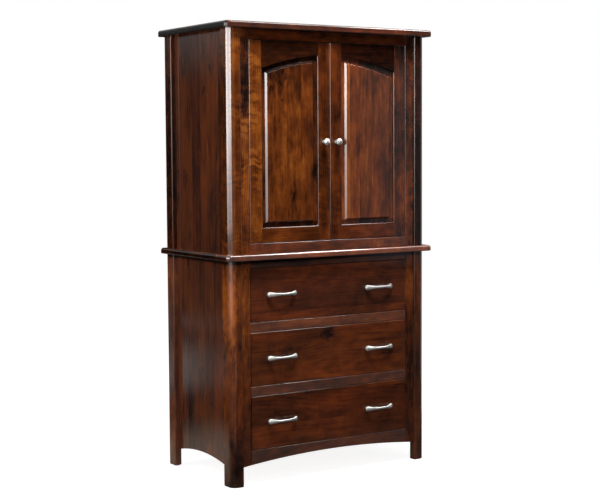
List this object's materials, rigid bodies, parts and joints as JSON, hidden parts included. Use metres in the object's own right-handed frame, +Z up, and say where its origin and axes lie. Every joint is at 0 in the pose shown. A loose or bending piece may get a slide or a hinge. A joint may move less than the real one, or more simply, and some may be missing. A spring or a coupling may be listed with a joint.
{
  "type": "computer armoire",
  "caption": "Tall stained-wood armoire with arched raised-panel doors over a base of wide drawers with bow pulls, standing on rounded corner posts.",
  "frame": {"origin": "on the floor under the middle of the crown and waist boards", "axes": "+Z up, +Y from the front to the back, +X to the right of someone facing the doors"},
  "size_m": [1.086, 0.612, 1.98],
  "materials": {
    "stained_wood": "dark brown stain under satin lacquer",
    "stained_plywood": "thin stain, matt",
    "pale_wood": "clear satin lacquer",
    "satin_nickel": "satin nickel",
    "zinc_steel": "bright zinc",
    "bronzed_steel": "dark bronze, satin",
    "black_plastic": "moulded, matt",
    "nylon": "moulded, matt"
  },
  "bodies": {
    "cabinet": {"base_apron": "stained_wood", "base_back_panel": "stained_plywood", "base_face_stiles": "stained_wood", "base_left_front_post": "stained_wood", "base_left_side_panel": "stained_wood", "base_rear_posts": "stained_wood", "base_right_front_post": "stained_wood", "base_right_side_panel": "stained_wood", "base_top_rail": "stained_wood", "cabinet_floor": "stained_wood", "cable_grommet": "black_plastic", "crown_board": "stained_wood", "door_catches": "black_plastic", "drawer_rails": "stained_wood", "foot_glides": "nylon", "loose_shelf": "stained_wood", "pivot_plates": "bronzed_steel", "shelf_pins": "zinc_steel", "slide_cabinet_members": "zinc_steel", "slide_cleats": "pale_wood", "upper_back_panel": "stained_plywood", "upper_bottom_rail": "stained_wood", "upper_face_stiles": "stained_wood", "upper_left_front_post": "stained_wood", "upper_left_side_panel": "stained_wood", "upper_rear_posts": "stained_wood", "upper_right_front_post": "stained_wood", "upper_right_side_panel": "stained_wood", "upper_top_rail": "stained_wood", "waist_board": "stained_wood"},
    "top_drawer": {"top_drawer_box": "pale_wood", "top_drawer_front": "stained_wood", "top_drawer_pulls": "satin_nickel", "top_drawer_slide_inners": "zinc_steel"},
    "top_drawer_slide": {"top_drawer_slide_middles": "zinc_steel"},
    "middle_drawer": {"middle_drawer_box": "pale_wood", "middle_drawer_front": "stained_wood", "middle_drawer_pulls": "satin_nickel", "middle_drawer_slide_inners": "zinc_steel"},
    "middle_drawer_slide": {"middle_drawer_slide_middles": "zinc_steel"},
    "bottom_drawer": {"bottom_drawer_box": "pale_wood", "bottom_drawer_front": "stained_wood", "bottom_drawer_pulls": "satin_nickel", "bottom_drawer_slide_inners": "zinc_steel"},
    "bottom_drawer_slide": {"bottom_drawer_slide_middles": "zinc_steel"},
    "left_door": {"left_door_bottom_rail": "stained_wood", "left_door_hinge_stile": "stained_wood", "left_door_knob": "satin_nickel", "left_door_lock_stile": "stained_wood", "left_door_panel": "stained_wood", "left_door_plates": "bronzed_steel", "left_door_top_rail": "stained_wood"},
    "right_door": {"right_door_bottom_rail": "stained_wood", "right_door_hinge_stile": "stained_wood", "right_door_knob": "satin_nickel", "right_door_lock_stile": "stained_wood", "right_door_panel": "stained_wood", "right_door_plates": "bronzed_steel", "right_door_top_rail": "stained_wood"}
  },
  "joints": [
    {"name": "top_drawer_pull_out", "type": "slide", "parent": "cabinet", "child": "top_drawer", "axis": [0, -1, 0], "range_m": [0, 0.45]},
    {"name": "top_drawer_slide_follow", "type": "slide", "parent": "cabinet", "child": "top_drawer_slide", "axis": [0, -1, 0], "range_m": [0, 0.225]},
    {"name": "middle_drawer_pull_out", "type": "slide", "parent": "cabinet", "child": "middle_drawer", "axis": [0, -1, 0], "range_m": [0, 0.45]},
    {"name": "middle_drawer_slide_follow", "type": "slide", "parent": "cabinet", "child": "middle_drawer_slide", "axis": [0, -1, 0], "range_m": [0, 0.225]},
    {"name": "bottom_drawer_pull_out", "type": "slide", "parent": "cabinet", "child": "bottom_drawer", "axis": [0, -1, 0], "range_m": [0, 0.45]},
    {"name": "bottom_drawer_slide_follow", "type": "slide", "parent": "cabinet", "child": "bottom_drawer_slide", "axis": [0, -1, 0], "range_m": [0, 0.225]},
    {"name": "left_door_hinge", "type": "hinge", "parent": "cabinet", "child": "left_door", "pos_m": [-0.3889, -0.2563, 1.4755], "axis": [0, 0, -1], "range_deg": [0, 110]},
    {"name": "right_door_hinge", "type": "hinge", "parent": "cabinet", "child": "right_door", "pos_m": [0.3889, -0.2563, 1.4755], "axis": [0, 0, 1], "range_deg": [0, 110]}
  ],
  "couplings": [
    {"joint": "top_drawer_slide_follow", "follows": "top_drawer_pull_out", "ratio": 0.5},
    {"joint": "middle_drawer_slide_follow", "follows": "middle_drawer_pull_out", "ratio": 0.5},
    {"joint": "bottom_drawer_slide_follow", "follows": "bottom_drawer_pull_out", "ratio": 0.5}
  ]
}
